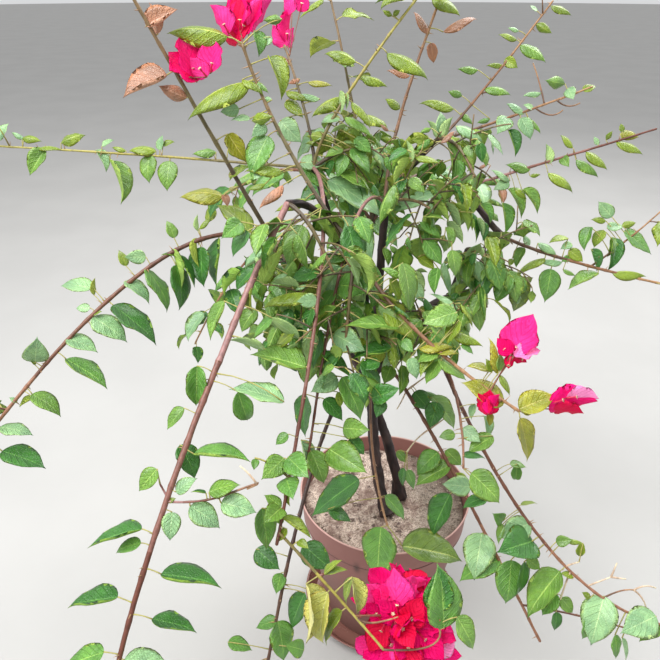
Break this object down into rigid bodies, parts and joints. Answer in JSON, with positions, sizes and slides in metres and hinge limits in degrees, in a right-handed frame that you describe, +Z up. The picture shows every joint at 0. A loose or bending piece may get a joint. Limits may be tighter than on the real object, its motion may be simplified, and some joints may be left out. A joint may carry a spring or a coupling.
{
  "type": "potted bougainvillea bush",
  "caption": "Bougainvillea bush with arching leafy canes and papery pink flower clusters, in a round banded plastic pot that stands in its saucer.",
  "frame": {"origin": "middle of the saucer's flat underside, at ground level", "axes": "+Z up, +X to the bush's right as seen in the picture, -Y towards the viewer"},
  "size_m": [1.0054, 0.9032, 0.9803],
  "materials": {
    "pot_plastic": "matte terracotta-pink plastic",
    "soil": "rough sandy potting soil",
    "bark": "rough dark brown bark",
    "foliage": "glossy green leaves on thin twigs",
    "young_foliage": "glossy yellow-green leaves on thin twigs",
    "bract": "papery bright pink bracts"
  },
  "bodies": {
    "root": {"pot": "pot_plastic", "saucer": "pot_plastic", "soil": "soil", "trunk": "bark", "second_stem": "bark", "bough_right": "bark", "elbow_bough": "bark", "elbow_return": "bark", "elbow_twig": "bark", "bough_low": "bark", "bough_front": "bark", "bough_middle": "bark", "bough_upper": "bark", "bough_arch": "bark", "bough_left": "bark", "bough_top": "bark", "bough_back": "bark", "bloom_top_left": "bract", "bloom_top_middle": "bract", "bloom_top_back": "bract", "bloom_right_high": "bract", "bloom_right_near": "bract", "bloom_right_low": "bract", "bloom_front": "bract", "cane_left_low": "foliage", "cane_left_middle": "foliage", "cane_left_high": "foliage", "shoot_top_left": "young_foliage", "shoot_top_bloom": "young_foliage", "shoot_top_back": "foliage", "shoot_top_middle": "young_foliage", "shoot_top_right": "young_foliage", "cane_top_right": "foliage", "cane_right_top": "foliage", "cane_right_high": "foliage", "cane_right_middle": "foliage", "cane_right_low": "foliage", "cane_right_drop": "foliage", "cane_right_bloom": "young_foliage", "cane_front_short": "foliage", "cane_front_right": "foliage", "cane_front_dark": "foliage", "cane_front_drop": "foliage", "cane_front_bloom": "foliage", "cane_back_left": "foliage", "cane_back_middle": "foliage", "cane_back_right": "foliage", "shoot_back_high": "young_foliage", "cane_back_drop": "foliage", "crown_left": "foliage", "crown_top": "foliage", "crown_front": "foliage", "crown_front_left": "foliage", "crown_right": "foliage", "crown_middle": "foliage", "crown_upper": "foliage", "crown_back": "foliage", "crown_low": "foliage"}
  },
  "joints": []
}
